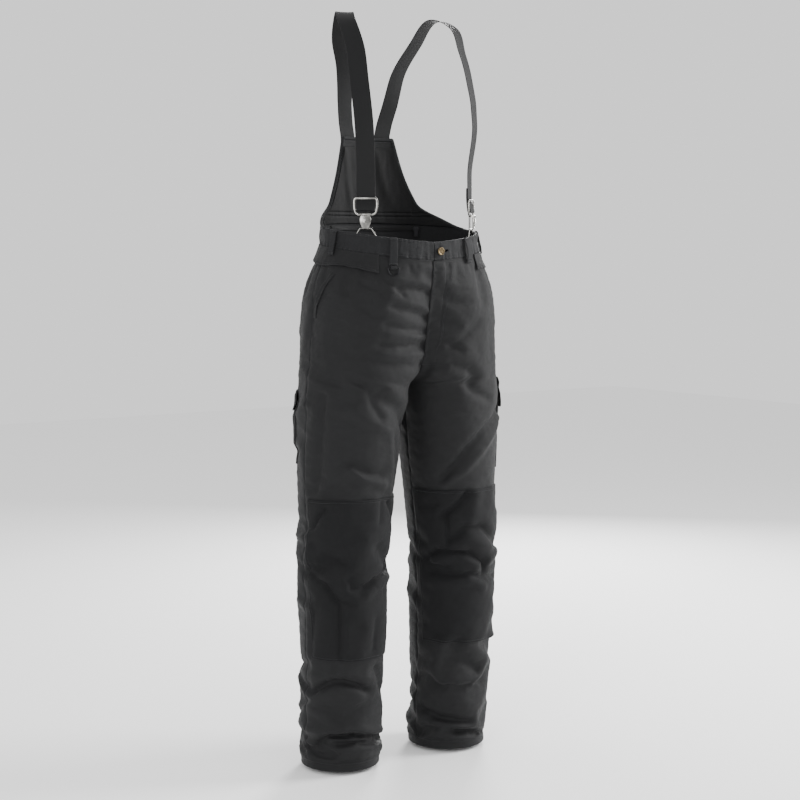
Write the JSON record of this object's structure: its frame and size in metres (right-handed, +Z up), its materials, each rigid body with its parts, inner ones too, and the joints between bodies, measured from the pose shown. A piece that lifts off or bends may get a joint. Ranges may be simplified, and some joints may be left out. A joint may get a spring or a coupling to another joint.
{
  "type": "padded work trousers with braces",
  "caption": "Padded winter work trousers with a raised back panel, two webbing braces on lever clips, knee pockets, belt loops and a D-ring.",
  "frame": {"origin": "middle of the wearer's waist, level with the top of the waistband at the front", "axes": "+Z up, -Y the way the wearer faces, +X to the wearer's left"},
  "size_m": [0.4772, 0.2693, 1.5568],
  "materials": {
    "shell": "matt woven polyester with a faint sheen",
    "band": "matt woven polyester",
    "knee": "heavy ribbed woven nylon",
    "lining": "smooth lining cloth",
    "webbing": "ribbed elastic webbing",
    "nickel": "polished nickel plate",
    "dark_metal": "black lacquered metal",
    "old_brass": "antique brass"
  },
  "bodies": {
    "trousers": {"front_leg_right": "shell", "back_leg_right": "shell", "hem_right": "shell", "front_leg_left": "shell", "back_leg_left": "shell", "hem_left": "shell", "waistband_front_right": "band", "waistband_front_left": "band", "waistband_back": "band", "button_tack": "old_brass", "fly_facing": "shell", "fly_shield": "shell", "zip_tape_right": "lining", "zip_tape_left": "lining", "knee_pocket_right": "knee", "hip_flap_right": "shell", "hand_pocket_facing_right": "shell", "hand_pocket_bag_right": "lining", "knee_pocket_left": "knee", "hip_flap_left": "shell", "hand_pocket_facing_left": "shell", "hand_pocket_bag_left": "lining", "thigh_pocket_left": "shell", "tool_pocket_right": "shell", "back_pocket_right": "shell", "back_pocket_left": "shell", "belt_loop_front_left": "band", "belt_loop_side_right": "band", "belt_loop_side_left": "band", "belt_loop_back_right": "band", "belt_loop_back_left": "band", "belt_loop_back_middle": "band", "belt_loop_front_right": "band", "back_panel": "shell", "back_panel_lining": "lining", "panel_zip": "lining", "panel_zip_slider": "dark_metal", "brace_right": "webbing", "ring_tab_right": "webbing", "brace_left": "webbing", "ring_tab_left": "webbing"},
    "button": {"waist_button": "old_brass"},
    "fly_slider": {"fly_zip_slider": "dark_metal"},
    "fly_pull": {"fly_zip_pull": "dark_metal"},
    "d_ring": {"d_ring": "dark_metal"},
    "thigh_flap": {"thigh_pocket_flap_left": "shell"},
    "tool_flap": {"tool_pocket_flap_right": "shell"},
    "panel_pull": {"panel_zip_pull": "dark_metal"},
    "clip_left": {"clip_frame_left": "nickel", "clip_body_left": "nickel", "clip_pin_left": "nickel"},
    "lever_left": {"clip_lever_left": "nickel"},
    "ring_left": {"clip_ring_left": "nickel"},
    "clip_right": {"clip_frame_right": "nickel", "clip_body_right": "nickel", "clip_pin_right": "nickel"},
    "lever_right": {"clip_lever_right": "nickel"},
    "ring_right": {"clip_ring_right": "nickel"}
  },
  "joints": [
    {"name": "button_swivel", "type": "hinge", "parent": "trousers", "child": "button", "pos_m": [0.014, -0.12033, -0.019], "axis": [-0.0534, 0.9986, 0], "continuous": true},
    {"name": "fly_zip_slide", "type": "slide", "parent": "trousers", "child": "fly_slider", "axis": [0, 0.1511, -0.9885], "range_m": [0, 0.1457]},
    {"name": "fly_pull_swing", "type": "hinge", "parent": "fly_slider", "child": "fly_pull", "pos_m": [0, -0.10621, -0.0478], "axis": [-1, 0, 0], "range_deg": [0, 6]},
    {"name": "d_ring_swing", "type": "hinge", "parent": "trousers", "child": "d_ring", "pos_m": [-0.09847, -0.11777, -0.0519], "axis": [-0.9492, 0.3147, 0], "range_deg": [0, 80]},
    {"name": "thigh_flap_lift", "type": "hinge", "parent": "trousers", "child": "thigh_flap", "pos_m": [0.22859, 0.02304, -0.284], "axis": [0.1708, -0.9853, 0], "range_deg": [0, 85]},
    {"name": "tool_flap_lift", "type": "hinge", "parent": "trousers", "child": "tool_flap", "pos_m": [-0.18414, 0.0973, -0.301], "axis": [0.7685, 0.6399, 0], "range_deg": [0, 85]},
    {"name": "panel_pull_swing", "type": "hinge", "parent": "trousers", "child": "panel_pull", "pos_m": [0.10434, 0.08911, 0.0336], "axis": [-0.8863, 0.463, 0], "range_deg": [0, 85]},
    {"name": "clip_rock_left", "type": "hinge", "parent": "trousers", "child": "clip_left", "pos_m": [0.13302, -0.06887, 0.0646], "axis": [0.7668, 0.6418, 0], "range_deg": [0, 4]},
    {"name": "ring_rock_left", "type": "hinge", "parent": "trousers", "child": "ring_left", "pos_m": [0.13276, -0.06857, 0.006], "axis": [-0.7668, -0.6418, 0], "range_deg": [0, 7.21]},
    {"name": "lever_lift_left", "type": "hinge", "parent": "clip_left", "child": "lever_left", "pos_m": [0.13706, -0.0737, 0.0546], "axis": [-0.7668, -0.6418, 0], "range_deg": [0, 70]},
    {"name": "clip_rock_right", "type": "hinge", "parent": "trousers", "child": "clip_right", "pos_m": [-0.13302, -0.06887, 0.0646], "axis": [0.7668, -0.6418, 0], "range_deg": [0, 4]},
    {"name": "ring_rock_right", "type": "hinge", "parent": "trousers", "child": "ring_right", "pos_m": [-0.13276, -0.06857, 0.006], "axis": [-0.7668, 0.6418, 0], "range_deg": [0, 7.21]},
    {"name": "lever_lift_right", "type": "hinge", "parent": "clip_right", "child": "lever_right", "pos_m": [-0.13706, -0.0737, 0.0546], "axis": [-0.7668, 0.6418, 0], "range_deg": [0, 70]}
  ],
  "couplings": [
    {"joint": "ring_rock_left", "follows": "clip_rock_left", "ratio": 1.7905},
    {"joint": "ring_rock_right", "follows": "clip_rock_right", "ratio": 1.7905}
  ]
}
